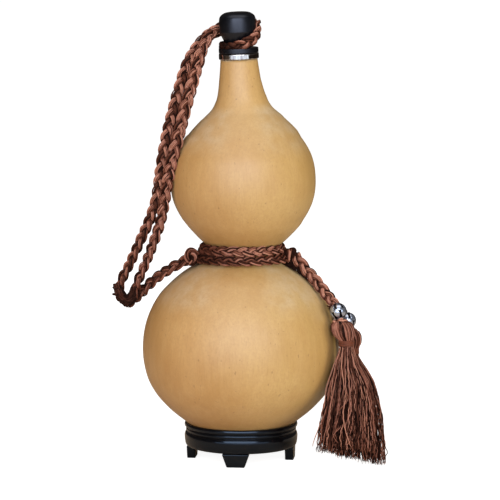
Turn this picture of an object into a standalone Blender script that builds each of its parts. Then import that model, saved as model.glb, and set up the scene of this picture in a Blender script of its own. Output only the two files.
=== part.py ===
"""Dried bottle gourd with a stopper, a plaited cord with two tassels, and a round stand.

Metres, +Z up, and the front faces -Y. The sizes below are in millimetres.
"""
import math

import bmesh
import bpy
from mathutils import Matrix, Vector

MM = 0.001
CURVE_PARTS = 16

# Radius and height of the gourd's skin, from the middle of its base up to its mouth
GOURD_OUTLINE = [
    (0.0, 13.5), (14.0, 15.0), (28.0, 20.0), (39.6, 27.9), (49.0, 36.0), (57.3, 46.0), (62.6, 57.5),
    (64.7, 73.6), (62.1, 91.5), (55.3, 106.5), (46.8, 116.4), (38.7, 123.5), (30.8, 128.8),
    (26.4, 132.2), (23.0, 135.6), (22.0, 138.4), (22.6, 140.8), (25.2, 143.4), (30.4, 148.3),
    (38.8, 158.0), (45.8, 171.5), (47.7, 186.0), (45.0, 201.5), (36.7, 215.4), (27.2, 225.6),
    (19.8, 232.6), (16.1, 240.0), (14.0, 249.0), (12.7, 258.9), (12.1, 264.7),
]
# Height on the gourd, and how far its middle leans to the right there
GOURD_LEAN = [
    (0.0, 0.0), (80.0, 0.0), (100.0, 0.3), (140.0, 1.0), (158.0, 1.3), (190.0, 1.5), (215.0, 1.4),
    (226.0, 1.0), (238.0, 0.4), (250.0, -0.6), (265.0, -1.3),
]
GOURD_WALL = 3.0
GOURD_SIDES = 40
# The largest turn between two steps of the outline, and the longest step
SKIN_TURN = math.radians(10.0)
SKIN_STEP = 13.0
BORE_TURN = math.radians(17.0)
BORE_STEP = 20.0

# The mouth's own axis starts at the middle of the gourd's rim and leans to the left
MOUTH_X = -1.3
MOUTH_Z = 265.0
MOUTH_TILT = math.radians(2.4)
RING_RADIUS = 13.1
RING_HEIGHT = 3.6
SLEEVE_RADIUS = 8.8
SLEEVE_BORE = 8.0
SLEEVE_DEPTH = 10.0
TURN_SIDES = 32
EASE = 0.4

# Radius and height of the stopper above its flange's underside, from the top down to the plug's end
STOPPER_OUTLINE = [
    (0.0, 26.9), (6.5, 26.6), (9.6, 25.5), (11.5, 23.6), (12.1, 21.2), (12.1, 14.2), (11.7, 13.4),
    (9.2, 7.5), (8.0, 5.7), (8.0, 3.8), (8.5, 3.3), (12.5, 3.3), (13.0, 2.8), (13.0, 0.5),
    (12.5, 0.0), (7.6, 0.0), (7.6, -19.0), (6.6, -20.0), (0.0, -20.0),
]
STOPPER_BASE = RING_HEIGHT + 0.3

# Radius and height of the stand's ring: down its mouldings, in under it, and up its bore to the seat
STAND_OUTLINE = [
    (36.4, 24.8), (37.1, 24.4), (37.4, 23.4), (37.2, 22.3), (36.6, 21.5), (36.0, 21.2), (36.4, 20.7),
    (36.5, 20.0), (36.4, 19.3), (36.0, 18.8), (36.7, 18.3), (37.2, 17.2), (37.4, 15.6), (37.2, 12.6),
    (36.8, 10.4), (36.1, 9.3), (35.5, 9.0), (29.7, 9.0), (29.2, 9.5), (29.2, 20.2), (33.0, 22.8),
]
STAND_SIDES = 40
FOOT_COUNT = 4
FOOT_TURN = math.radians(-6.0)
FOOT_RADIUS = 32.6
FOOT_TOP = 8.7
FOOT_WIDTH_TOP = 18.0
FOOT_WIDTH_BOTTOM = 11.7
FOOT_THICKNESS = 5.6
FOOT_EASE = 0.5

# The plaited cord, and its two turns round the waist
CORD_RADIUS = 3.0
WRAP_X = 0.8
TURN_FACETS = 10
# Each turn's radius, its middle's y and height, half its thickness, half its height, and how far
# its front rises above its middle
LOWER_TURN = (30.4, 0.1, 134.8, 2.2, 3.2, 0.9)
UPPER_TURN = (26.6, -0.9, 140.1, 2.0, 3.1, 1.0)
KNOT_LEFT = (-32.0, -10.0, 136.3)
KNOT_LEFT_HALF = (4.8, 5.2, 6.1)
KNOT_RIGHT = (32.6, -8.0, 137.4)
KNOT_RIGHT_HALF = (4.2, 4.6, 5.6)
LOOP_KNOT = (1.8, 14.6, 278.4)
LOOP_KNOT_HALF = (4.2, 3.8, 6.4)

# From the knot behind the stopper down the outer strand, round the bottom, up the inner strand
# and once round the stopper
LOOP_ROUTE = [
    (-2.8, 15.6, 281.7), (-12.0, 18.2, 281.6), (-21.8, 14.0, 279.2), (-30.0, 5.6, 269.9),
    (-36.7, -0.6, 255.3), (-43.8, -7.4, 231.5), (-48.4, -10.8, 212.8), (-54.4, -11.0, 178.6),
    (-58.6, -9.0, 163.2), (-65.6, -7.0, 147.1), (-73.6, -5.0, 129.4), (-79.0, -4.0, 118.5),
    (-80.2, -4.0, 110.6), (-78.6, -4.0, 106.8), (-74.9, -4.0, 105.1), (-71.3, -4.0, 106.8),
    (-69.8, -4.0, 110.6), (-68.3, -4.4, 117.5), (-63.8, -5.0, 128.3), (-58.2, -7.0, 142.5),
    (-52.8, -9.8, 158.5), (-49.3, -14.0, 175.5), (-47.2, -16.6, 191.0), (-43.4, -16.4, 206.5),
    (-36.9, -11.4, 231.7), (-31.3, -5.8, 252.0), (-25.9, -0.8, 270.0), (-20.9, 4.0, 279.0),
    (-15.0, 10.3, 285.7), (-7.2, 15.4, 288.5), (1.6, 15.5, 289.3), (9.5, 10.9, 289.1),
    (13.7, 2.5, 286.6), (12.5, -6.1, 281.8), (6.9, -11.3, 277.6), (-1.0, -13.3, 275.8),
    (-9.2, -11.3, 275.7), (-14.5, -3.5, 275.7), (-13.8, 6.9, 275.5), (-4.4, 14.3, 275.1),
]
# From the left knot to the bottom of the loop, behind which it ends
LEAD_ROUTE = [
    (-37.0, -9.5, 133.0), (-43.2, -8.6, 129.7), (-48.0, -7.4, 126.6), (-52.6, -5.6, 123.4),
    (-56.4, -3.8, 120.2), (-60.0, -1.8, 117.0), (-64.0, 0.8, 113.4), (-68.0, 2.8, 110.0),
    (-72.0, 3.8, 107.0), (-75.6, 4.0, 104.4),
]
# From the right knot down the gourd's shoulder to the first bead, and the thin end to the second
TAIL_ROUTE = [
    (37.2, -8.0, 133.8), (41.0, -7.6, 129.0), (44.3, -7.8, 125.3), (47.9, -8.6, 121.1),
    (51.8, -10.6, 116.5), (55.4, -13.4, 112.3), (58.2, -16.4, 109.0), (60.6, -19.0, 106.8),
]
BRANCH_ROUTE = [
    (64.0, -15.4, 107.2), (65.7, -14.0, 106.0), (67.4, -12.6, 104.0), (68.9, -11.5, 101.6),
    (69.7, -10.8, 99.7),
]
BRANCH_RADIUS = 1.3
CORD_TURN = math.radians(20.0)
CORD_STEP = 17.0
BALL_SIDES = 14
BALL_RINGS = 9

BEAD_RADIUS = 5.65
BEAD_GROOVE = 0.35
BEAD_PETALS = 6
BEAD_1 = (63.5, -21.8, 101.4)
BEAD_2 = (70.0, -10.5, 93.6)
BEAD_1_TILT = (math.radians(-24.0), math.radians(-14.0))
BEAD_2_TILT = (math.radians(-14.0), math.radians(-7.0))

# Each section of a tassel: middle x, y and height, then half its width and half its depth
TASSEL_1 = [
    (65.1, -24.2, 95.7, 1.0, 1.0), (65.3, -24.6, 95.1, 3.1, 3.1), (65.9, -25.3, 93.5, 6.3, 6.3),
    (66.4, -26.2, 91.6, 7.6, 7.5), (66.9, -27.0, 89.6, 7.9, 7.8), (67.2, -27.6, 86.8, 7.3, 7.2),
    (67.5, -28.2, 84.6, 5.9, 5.9), (67.6, -28.5, 83.4, 5.2, 5.2), (67.9, -29.4, 78.8, 5.2, 5.2),
    (68.1, -30.0, 75.5, 6.3, 5.7), (68.6, -31.4, 68.0, 8.9, 6.2), (70.0, -33.8, 57.0, 13.8, 6.5),
    (70.0, -36.4, 44.0, 17.3, 6.7), (68.9, -38.6, 30.0, 19.5, 6.6), (68.0, -39.6, 11.5, 20.6, 6.4),
]
TASSEL_2 = [
    (70.7, -11.8, 87.6, 1.4, 1.4), (70.8, -12.0, 86.8, 3.2, 3.2), (71.0, -12.3, 85.2, 6.2, 6.2),
    (71.3, -12.7, 83.5, 7.4, 7.3), (71.6, -13.1, 81.6, 7.7, 7.6), (71.8, -13.6, 79.0, 7.2, 7.0),
    (71.9, -14.1, 76.9, 5.9, 5.8), (72.0, -14.4, 75.7, 5.2, 5.2), (72.2, -15.4, 71.1, 5.2, 5.2),
    (72.4, -16.2, 68.5, 6.6, 5.4), (73.3, -18.2, 62.0, 10.6, 5.6), (74.4, -20.5, 55.0, 13.8, 5.7),
    (75.5, -23.2, 45.0, 16.0, 5.7), (76.3, -25.8, 32.0, 17.7, 5.6), (77.0, -27.7, 2.6, 19.0, 5.2),
]
TASSEL_SIDES = 32
TASSEL_FLUTES = 8
TASSEL_FLUTE_DEPTH = 0.045
TASSEL_RAGGED = 0.8


def clear_scene():
    for obj in list(bpy.data.objects):
        bpy.data.objects.remove(obj, do_unlink=True)


def material(name, color, roughness, metallic=0.0, coat=0.0):
    mat = bpy.data.materials.new(name)
    mat.use_nodes = True
    shader = mat.node_tree.nodes["Principled BSDF"]
    shader.inputs["Base Color"].default_value = (*color, 1.0)
    shader.inputs["Roughness"].default_value = roughness
    shader.inputs["Metallic"].default_value = metallic
    shader.inputs["Coat Weight"].default_value = coat
    return mat


def curve_through(points):
    """Close points on a smooth curve through the given ones."""
    given = [Vector(p) for p in points]
    given = [2 * given[0] - given[1]] + given + [2 * given[-1] - given[-2]]
    fine = []
    for i in range(1, len(given) - 2):
        a, b, c, d = given[i - 1:i + 3]
        for k in range(CURVE_PARTS):
            t = k / CURVE_PARTS
            fine.append(0.5 * (2 * b + (c - a) * t + (2 * a - 5 * b + 4 * c - d) * t ** 2
                               + (3 * b - a - 3 * c + d) * t ** 3))
    fine.append(given[-2])
    return fine


def bent_line(points, turn, step):
    """The fewest points on the smooth curve that keep each turn and each step within a limit."""
    fine = curve_through(points)
    line = [fine[0]]
    bend = 0.0
    for before, here, after in zip(fine, fine[1:], fine[2:]):
        bend += (here - before).angle(after - here)
        if bend > turn or (after - line[-1]).length > step:
            line.append(here)
            bend = 0.0
    return line + [fine[-1]]


def lean_at(height):
    """How far the gourd's middle stands to the right at a height, and the slope there, in mm."""
    for (z0, x0), (z1, x1) in zip(GOURD_LEAN, GOURD_LEAN[1:]):
        if height <= z1:
            slope = (x1 - x0) / (z1 - z0)
            return x0 + slope * (height - z0), slope
    return x1, slope


def link(obj, collection, mat=None):
    collection.objects.link(obj)
    if mat:
        obj.data.materials.append(mat)
    return obj


def mesh_object(name, bm, collection, mat):
    mesh = bpy.data.meshes.new(name)
    bm.to_mesh(mesh)
    bm.free()
    return link(bpy.data.objects.new(name, mesh), collection, mat)


def shade_smooth(mesh, angle=math.radians(35.0)):
    mesh.shade_smooth()
    mesh.set_sharp_from_angle(angle=angle)


def turned(name, outline, sides, closed, collection, mat):
    """A turned shape from an outline in metres, which runs down its outer side."""
    bm = bmesh.new()
    verts = [bm.verts.new((r, 0.0, z)) for r, z in outline]
    for a, b in zip(verts, verts[1:]):
        bm.edges.new((a, b))
    if closed:
        bm.edges.new((verts[-1], verts[0]))
    obj = mesh_object(name, bm, collection, mat)
    screw = obj.modifiers.new("Turn", "SCREW")
    screw.steps = sides
    screw.render_steps = sides
    screw.use_merge_vertices = True
    screw.merge_threshold = 0.0001
    screw.use_smooth_shade = True
    return obj


def as_mesh(obj):
    """Replaces an object by one whose mesh is what its modifiers or its curve make."""
    depsgraph = bpy.context.evaluated_depsgraph_get()
    depsgraph.update()
    mesh = bpy.data.meshes.new_from_object(obj.evaluated_get(depsgraph))
    bm = bmesh.new()
    bm.from_mesh(mesh)
    bmesh.ops.remove_doubles(bm, verts=bm.verts, dist=0.01 * MM)
    bm.to_mesh(mesh)
    bm.free()
    name = obj.name
    collection = obj.users_collection[0]
    place = obj.matrix_world.copy()
    bpy.data.objects.remove(obj, do_unlink=True)
    solid = bpy.data.objects.new(name, mesh)
    mesh.name = name
    solid.matrix_world = place
    collection.objects.link(solid)
    return solid


def wall_line():
    """The gourd's inner side: its outline, moved in by the wall's thickness."""
    skin = curve_through([(r, 0.0, z) for r, z in GOURD_OUTLINE])
    inner = [Vector((0.0, 0.0, skin[0].z + GOURD_WALL))]
    for before, here, after in zip(skin, skin[1:], skin[2:]):
        along = (after - before).normalized()
        inner.append(here + Vector((-along.z, 0.0, along.x)) * GOURD_WALL)
    inner.append(skin[-1] - Vector((GOURD_WALL, 0.0, 0.0)))
    return inner


def build_gourd(parts, mat):
    """Turned from one line: up the inner side, over the rim and down the skin, then leant."""
    bore = bent_line(wall_line()[::CURVE_PARTS // 2], BORE_TURN, BORE_STEP)
    skin = bent_line([(r, 0.0, z) for r, z in GOURD_OUTLINE], SKIN_TURN, SKIN_STEP)
    line = bore + skin[::-1]
    obj = as_mesh(turned("gourd", scaled([(p[0], p[2]) for p in line]), GOURD_SIDES, False, parts, mat))
    for vert in obj.data.vertices:
        shift, slope = lean_at(vert.co.z / MM)
        vert.co.z -= vert.co.x * slope
        vert.co.x += shift * MM


def on_mouth(obj, height):
    """Stands a turned piece on the mouth's leaning axis."""
    axis = Vector((-math.sin(MOUTH_TILT), 0.0, math.cos(MOUTH_TILT)))
    obj.location = Vector((MOUTH_X, 0.0, MOUTH_Z)) * MM + axis * height * MM
    obj.rotation_euler = (0.0, -MOUTH_TILT, 0.0)
    return obj


def scaled(outline):
    return [(r * MM, z * MM) for r, z in outline]


def build_mouth(parts, steel, black):
    ring = [
        (SLEEVE_BORE, RING_HEIGHT), (RING_RADIUS - EASE, RING_HEIGHT), (RING_RADIUS, RING_HEIGHT - EASE),
        (RING_RADIUS, EASE), (RING_RADIUS - EASE, 0.0), (SLEEVE_RADIUS, 0.0),
        (SLEEVE_RADIUS, -SLEEVE_DEPTH), (SLEEVE_BORE, -SLEEVE_DEPTH),
    ]
    on_mouth(turned("mouth_ring", scaled(ring), TURN_SIDES, True, parts, steel), 0.0)
    on_mouth(turned("stopper", scaled(STOPPER_OUTLINE), TURN_SIDES, False, parts, black), STOPPER_BASE)


def build_stand(parts, mat):
    turned("stand_ring", scaled(STAND_OUTLINE), STAND_SIDES, True, parts, mat)
    for number in range(FOOT_COUNT):
        bm = bmesh.new()
        bmesh.ops.create_cube(bm, size=1.0)
        for vert in bm.verts:
            width = FOOT_WIDTH_TOP if vert.co.z > 0 else FOOT_WIDTH_BOTTOM
            vert.co = Vector((vert.co.x * width, vert.co.y * FOOT_THICKNESS - FOOT_RADIUS,
                              (vert.co.z + 0.5) * FOOT_TOP)) * MM
        bmesh.ops.recalc_face_normals(bm, faces=bm.faces)
        turn = FOOT_TURN + math.tau * number / FOOT_COUNT
        bmesh.ops.rotate(bm, verts=bm.verts, matrix=Matrix.Rotation(turn, 3, "Z"))
        foot = mesh_object(f"stand_foot_{number + 1}", bm, parts, mat)
        edge = foot.modifiers.new("Edges", "BEVEL")
        edge.width = FOOT_EASE * MM
        edge.segments = 1


def wrap_turn(name, turn, collection, mat):
    radius, middle_y, height, half_thickness, half_height, rise = turn
    bpy.ops.mesh.primitive_torus_add(
        major_segments=TURN_SIDES, minor_segments=TURN_FACETS, major_radius=radius * MM,
        minor_radius=half_thickness * MM, location=(WRAP_X * MM, middle_y * MM, height * MM),
        rotation=(-math.asin(rise / radius), 0.0, 0.0))
    obj = bpy.context.object
    obj.name = name
    obj.data.name = name
    obj.scale.z = half_height / half_thickness
    shade_smooth(obj.data)
    for old in list(obj.users_collection):
        old.objects.unlink(obj)
    return link(obj, collection, mat)


def ball(name, middle, half, collection, mat):
    bm = bmesh.new()
    bmesh.ops.create_uvsphere(bm, u_segments=BALL_SIDES, v_segments=BALL_RINGS, radius=MM)
    bmesh.ops.scale(bm, verts=bm.verts, vec=half)
    bmesh.ops.translate(bm, verts=bm.verts, vec=Vector(middle) * MM)
    obj = mesh_object(name, bm, collection, mat)
    shade_smooth(obj.data)
    return obj


def build_wrap(parts, cutters, mat):
    """Two turns of cord round the waist. The lower one is joined with the knots at its sides."""
    wrap_turn("upper_turn", UPPER_TURN, parts, mat)
    lower = wrap_turn("lower_turn", LOWER_TURN, parts, mat)
    left = ball("left_knot_form", KNOT_LEFT, KNOT_LEFT_HALF, cutters, mat)
    right = ball("right_knot_form", KNOT_RIGHT, KNOT_RIGHT_HALF, cutters, mat)
    for form in (left, right):
        form.hide_render = True
        form.display_type = "WIRE"
        join = lower.modifiers.new(form.name, "BOOLEAN")
        join.operation = "UNION"
        join.solver = "EXACT"
        join.object = form


def tube(name, route, radius, parts, mat):
    curve = bpy.data.curves.new(name, "CURVE")
    curve.dimensions = "3D"
    curve.bevel_depth = radius * MM
    curve.bevel_resolution = 2
    curve.use_fill_caps = True
    line = bent_line(route, CORD_TURN, CORD_STEP)
    spline = curve.splines.new("POLY")
    spline.points.add(len(line) - 1)
    for point, place in zip(spline.points, line):
        point.co = (*(place * MM), 1.0)
    return link(bpy.data.objects.new(name, curve), parts, mat)


def build_bead(name, middle, tilt, parts, mat):
    """A round bead with carved petals, as grooves that run from pole to pole."""
    bm = bmesh.new()
    bmesh.ops.create_uvsphere(bm, u_segments=24, v_segments=12, radius=BEAD_RADIUS)
    for vert in bm.verts:
        around = math.atan2(vert.co.y, vert.co.x)
        level = math.hypot(vert.co.x, vert.co.y) / BEAD_RADIUS
        groove = max(0.0, math.cos(BEAD_PETALS * around)) * level
        vert.co *= (BEAD_RADIUS - BEAD_GROOVE * groove) / BEAD_RADIUS
    lean = Matrix.Rotation(tilt[0], 3, "X") @ Matrix.Rotation(tilt[1], 3, "Y")
    bmesh.ops.rotate(bm, verts=bm.verts, matrix=lean)
    bmesh.ops.translate(bm, verts=bm.verts, vec=middle)
    bmesh.ops.scale(bm, verts=bm.verts, vec=(MM, MM, MM))
    shade_smooth(mesh_object(name, bm, parts, mat).data)


def build_tassel(name, sections, parts, mat):
    """A bound head of thread over a spread skirt, lofted from oval sections with raised strands."""
    bm = bmesh.new()
    rings = []
    for level, (x, y, z, half_width, half_depth) in enumerate(sections):
        ring = []
        for side in range(TASSEL_SIDES):
            angle = math.tau * side / TASSEL_SIDES
            strand = math.cos(TASSEL_FLUTES * angle + 0.25 * level)
            swell = 1.0 - TASSEL_FLUTE_DEPTH * (1.0 - strand)
            drop = TASSEL_RAGGED * strand if level == len(sections) - 1 else 0.0
            ring.append(bm.verts.new(Vector((x + half_width * swell * math.cos(angle),
                                             y + half_depth * swell * math.sin(angle),
                                             z + drop)) * MM))
        rings.append(ring)
    for upper, lower in zip(rings, rings[1:]):
        for side in range(TASSEL_SIDES):
            after = (side + 1) % TASSEL_SIDES
            bm.faces.new((upper[side], lower[side], lower[after], upper[after]))
    for ring, section in ((rings[0], sections[0]), (rings[-1], sections[-1])):
        middle = bm.verts.new(Vector(section[:3]) * MM)
        for side in range(TASSEL_SIDES):
            bm.faces.new((ring[side], ring[(side + 1) % TASSEL_SIDES], middle))
    bmesh.ops.recalc_face_normals(bm, faces=bm.faces)
    shade_smooth(mesh_object(name, bm, parts, mat).data, math.radians(60.0))


def main():
    clear_scene()
    parts = bpy.data.collections.new("gourd_bottle")
    cutters = bpy.data.collections.new("joined_forms")
    for collection in (parts, cutters):
        bpy.context.scene.collection.children.link(collection)
    skin = material("gourd_skin", (0.58, 0.34, 0.13), 0.42, coat=0.15)
    steel = material("mouth_steel", (0.62, 0.61, 0.60), 0.16, 1.0)
    black = material("stopper_black", (0.018, 0.018, 0.022), 0.38)
    lacquer = material("stand_lacquer", (0.006, 0.006, 0.008), 0.16, coat=0.6)
    satin = material("cord_satin", (0.16, 0.062, 0.042), 0.48)
    silver = material("bead_silver", (0.55, 0.55, 0.57), 0.24, 1.0)

    build_gourd(parts, skin)
    build_mouth(parts, steel, black)
    build_stand(parts, lacquer)
    build_wrap(parts, cutters, satin)
    ball("loop_knot", LOOP_KNOT, LOOP_KNOT_HALF, parts, satin)
    tube("loop_cord", LOOP_ROUTE, CORD_RADIUS, parts, satin)
    tube("lead_cord", LEAD_ROUTE, CORD_RADIUS, parts, satin)
    tube("tail_cord", TAIL_ROUTE, CORD_RADIUS, parts, satin)
    tube("branch_cord", BRANCH_ROUTE, BRANCH_RADIUS, parts, satin)
    build_bead("bead_1", BEAD_1, BEAD_1_TILT, parts, silver)
    build_bead("bead_2", BEAD_2, BEAD_2_TILT, parts, silver)
    build_tassel("tassel_1", TASSEL_1, parts, satin)
    build_tassel("tassel_2", TASSEL_2, parts, satin)


main()
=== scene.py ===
import math

import bpy
import numpy as np
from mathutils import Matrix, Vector


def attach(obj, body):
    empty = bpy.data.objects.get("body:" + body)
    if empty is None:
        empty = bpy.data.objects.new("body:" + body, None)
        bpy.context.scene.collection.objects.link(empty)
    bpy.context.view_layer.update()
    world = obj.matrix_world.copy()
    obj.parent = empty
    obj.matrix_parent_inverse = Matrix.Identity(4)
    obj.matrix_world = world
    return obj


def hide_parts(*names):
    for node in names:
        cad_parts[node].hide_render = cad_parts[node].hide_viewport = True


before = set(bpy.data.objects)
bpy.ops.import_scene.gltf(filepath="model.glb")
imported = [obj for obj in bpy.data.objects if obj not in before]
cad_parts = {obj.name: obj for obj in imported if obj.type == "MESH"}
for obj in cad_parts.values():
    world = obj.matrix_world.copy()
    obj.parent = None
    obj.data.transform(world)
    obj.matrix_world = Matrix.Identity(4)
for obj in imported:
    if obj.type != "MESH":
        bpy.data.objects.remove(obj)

# The looks of a dried gourd bottle on its stand, with a plaited satin cord and two tassels.
# Lengths are in millimetres until a mesh is made, +Z is up, and the front faces -Y.
MM = 0.001
TAU = math.tau
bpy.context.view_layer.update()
SCENE = bpy.context.scene

# The cords' routes, as in the part's source
LOOP_ROUTE = [
    (-2.8, 15.6, 281.7), (-12.0, 18.2, 281.6), (-21.8, 14.0, 279.2), (-30.0, 5.6, 269.9),
    (-36.7, -0.6, 255.3), (-43.8, -7.4, 231.5), (-48.4, -10.8, 212.8), (-54.4, -11.0, 178.6),
    (-58.6, -9.0, 163.2), (-65.6, -7.0, 147.1), (-73.6, -5.0, 129.4), (-79.0, -4.0, 118.5),
    (-80.2, -4.0, 110.6), (-78.6, -4.0, 106.8), (-74.9, -4.0, 105.1), (-71.3, -4.0, 106.8),
    (-69.8, -4.0, 110.6), (-68.3, -4.4, 117.5), (-63.8, -5.0, 128.3), (-58.2, -7.0, 142.5),
    (-52.8, -9.8, 158.5), (-49.3, -14.0, 175.5), (-47.2, -16.6, 191.0), (-43.4, -16.4, 206.5),
    (-36.9, -11.4, 231.7), (-31.3, -5.8, 252.0), (-25.9, -0.8, 270.0), (-20.9, 4.0, 279.0),
    (-15.0, 10.3, 285.7), (-7.2, 15.4, 288.5), (1.6, 15.5, 289.3), (9.5, 10.9, 289.1),
    (13.7, 2.5, 286.6), (12.5, -6.1, 281.8), (6.9, -11.3, 277.6), (-1.0, -13.3, 275.8),
    (-9.2, -11.3, 275.7), (-14.5, -3.5, 275.7), (-13.8, 6.9, 275.5), (-4.4, 14.3, 275.1),
]
LEAD_ROUTE = [
    (-37.0, -9.5, 133.0), (-43.2, -8.6, 129.7), (-48.0, -7.4, 126.6), (-52.6, -5.6, 123.4),
    (-56.4, -3.8, 120.2), (-60.0, -1.8, 117.0), (-64.0, 0.8, 113.4), (-68.0, 2.8, 110.0),
    (-72.0, 3.8, 107.0), (-75.6, 4.0, 104.4),
]
TAIL_ROUTE = [
    (37.2, -8.0, 133.8), (41.0, -7.6, 129.0), (44.3, -7.8, 125.3), (47.9, -8.6, 121.1),
    (51.8, -10.6, 116.5), (55.4, -13.4, 112.3), (58.2, -16.4, 109.0), (60.6, -19.0, 106.8),
]
# The right knot's lower strand. It is drawn black: painted shade where the knot and tail meet the gourd.
RIGHT_KNOT_END = [
    (27.5, -8.0, 133.0), (30.6, -8.2, 131.2), (34.0, -8.0, 129.3), (37.4, -7.8, 127.2), (40.9, -7.6, 124.6),
    (44.2, -7.4, 121.6), (47.2, -7.6, 118.6), (50.0, -8.6, 115.6),
]
# Strands that are laid round the loop's bottom, and the two that show on the left knot
BUNDLE_OUTER = [
    (-82.0, -5.0, 117.5), (-81.2, -5.4, 112.6), (-79.0, -5.6, 107.6), (-75.1, -5.6, 104.4),
    (-70.6, -5.4, 106.5), (-66.8, -5.0, 110.2),
]
BUNDLE_INNER = [
    (-79.2, -4.6, 116.5), (-78.2, -4.8, 111.4), (-75.2, -5.0, 108.0), (-72.2, -4.8, 110.6), (-70.6, -4.6, 115.0),
]
LEFT_KNOT_OUTER = [
    (-33.6, -11.0, 131.2), (-35.5, -12.4, 134.6), (-35.4, -12.8, 138.6), (-33.3, -12.6, 140.8),
    (-30.3, -11.8, 139.9), (-28.3, -10.4, 137.0),
]
LEFT_KNOT_INNER = [
    (-34.2, -11.6, 131.0), (-31.8, -13.0, 132.6), (-30.1, -13.4, 135.6), (-31.2, -13.0, 138.0),
    (-33.2, -11.8, 137.6),
]
# The strand that bead 2 hangs from, which is nearly hidden by bead 1
BRANCH_SHOWN = [
    (63.4, -15.4, 106.0), (64.6, -14.0, 104.2), (66.2, -12.6, 102.2), (67.9, -11.5, 100.6),
    (69.3, -10.8, 99.3),
]
# Places along the loop, as points of its route: its lowest one, and where it reaches the stopper
LOOP_BOTTOM = 14
LOOP_TOP = 28
# Each turn round the waist: radius, its middle's y and height, and how far its front rises
LOWER_TURN = (30.4, 0.1, 134.8, 0.9)
UPPER_TURN = (26.6, -0.9, 140.1, 1.0)

# The gourd, the mouth and the stand, as in the part's source
GOURD_OUTLINE = [
    (0.0, 13.5), (14.0, 15.0), (28.0, 20.0), (39.6, 27.9), (49.0, 36.0), (57.3, 46.0), (62.6, 57.5),
    (64.7, 73.6), (62.1, 91.5), (55.3, 106.5), (46.8, 116.4), (38.7, 123.5), (30.8, 128.8),
    (26.4, 132.2), (23.0, 135.6), (22.0, 138.4), (22.6, 140.8), (25.2, 143.4), (30.4, 148.3),
    (38.8, 158.0), (45.8, 171.5), (47.7, 186.0), (45.0, 201.5), (36.7, 215.4), (27.2, 225.6),
    (19.8, 232.6), (16.1, 240.0), (14.0, 249.0), (12.7, 258.9), (12.1, 264.7),
]
GOURD_LEAN = [
    (0.0, 0.0), (80.0, 0.0), (100.0, 0.3), (140.0, 1.0), (158.0, 1.3), (190.0, 1.5), (215.0, 1.4),
    (226.0, 1.0), (238.0, 0.4), (250.0, -0.6), (265.0, -1.3),
]
GOURD_WALL = 3.0
MOUTH_X = -1.3
MOUTH_Z = 265.0
MOUTH_TILT = math.radians(2.4)
STOPPER_BASE = 3.9
WRAP_X = 0.8
BEAD_RADIUS = 5.65
BEAD_1 = (63.5, -21.8, 101.4)
BEAD_2 = (70.0, -10.5, 93.6)
BEAD_1_TILT = (math.radians(-24.0), math.radians(-14.0))
BEAD_2_TILT = (math.radians(-14.0), math.radians(-7.0))
# Each section of a tassel: middle x, y and height, then half its width and half its depth
TASSEL_1 = np.array([
    (65.1, -24.2, 96.1, 1.0, 1.0), (65.2, -24.6, 95.6, 4.4, 4.2), (65.7, -25.3, 94.0, 6.9, 6.8),
    (66.2, -26.2, 91.8, 7.9, 7.7), (66.7, -27.0, 89.6, 8.0, 7.9), (67.2, -27.6, 86.8, 7.3, 7.2),
    (68.1, -28.2, 84.6, 5.7, 5.9), (68.5, -28.5, 83.4, 4.9, 5.0), (68.9, -29.4, 78.8, 4.9, 5.0),
    (68.8, -30.0, 75.5, 6.0, 5.7), (68.6, -31.4, 68.0, 8.9, 6.2), (70.0, -33.8, 57.0, 13.8, 6.5),
    (70.0, -36.4, 44.0, 17.3, 6.7), (68.9, -38.6, 30.0, 19.5, 6.6), (68.0, -39.6, 11.5, 20.6, 6.4),
])
TASSEL_2 = np.array([
    (70.7, -11.8, 88.6, 1.4, 1.4), (70.8, -12.0, 88.0, 4.2, 4.2), (71.0, -12.3, 86.4, 6.9, 6.8),
    (71.3, -12.7, 84.0, 7.7, 7.5), (71.6, -13.1, 81.6, 7.7, 7.6), (71.8, -13.6, 79.0, 7.2, 7.0),
    (71.9, -14.1, 76.9, 5.9, 5.8), (72.0, -14.4, 75.7, 5.2, 5.2), (72.2, -15.4, 71.1, 5.2, 5.2),
    (72.4, -16.2, 68.5, 6.6, 5.4), (73.3, -18.2, 62.0, 10.6, 5.6), (74.4, -20.5, 55.0, 13.8, 5.7),
    (75.5, -23.2, 45.0, 16.0, 5.7), (76.3, -25.8, 32.0, 17.7, 5.6), (77.0, -27.7, 2.6, 19.0, 5.2),
])


# Numbers in arrays

def unit(vectors):
    return vectors / np.linalg.norm(vectors, axis=-1, keepdims=True)


def smooth_curve(points, parts=16):
    """Close points on a smooth curve through the given ones."""
    p = np.array(points, float)
    p = np.vstack((2 * p[0] - p[1], p, 2 * p[-1] - p[-2]))
    t = (np.arange(parts) / parts)[:, None]
    runs = [0.5 * (2 * b + (c - a) * t + (2 * a - 5 * b + 4 * c - d) * t ** 2
                   + (3 * b - a - 3 * c + d) * t ** 3) for a, b, c, d in zip(p, p[1:], p[2:], p[3:])]
    return np.vstack(runs + [p[-2:-1]])


def even_steps(points, step):
    """The same line with points a step apart, and how far along it each one is."""
    far = np.r_[0.0, np.cumsum(np.linalg.norm(np.diff(points, axis=0), axis=1))]
    along = np.linspace(0.0, far[-1], max(2, round(far[-1] / step) + 1))
    return np.column_stack([np.interp(along, far, axis) for axis in points.T]), along


def directions(lines, closed=False):
    """The direction of each line at each of its points. The points run along the last but one axis."""
    if closed:
        return unit(np.roll(lines, -1, -2) - np.roll(lines, 1, -2))
    return unit(np.gradient(lines, axis=-2))


def square_to(vectors, tangents):
    return unit(vectors - tangents * np.sum(vectors * tangents, axis=-1, keepdims=True))


def carried(line, first):
    """A direction square to the line, carried along it without twisting."""
    tangents = directions(line)
    found = []
    here = np.array(first, float)
    for tangent in tangents:
        here = square_to(here, tangent)
        found.append(here)
    return np.array(found)


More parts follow.
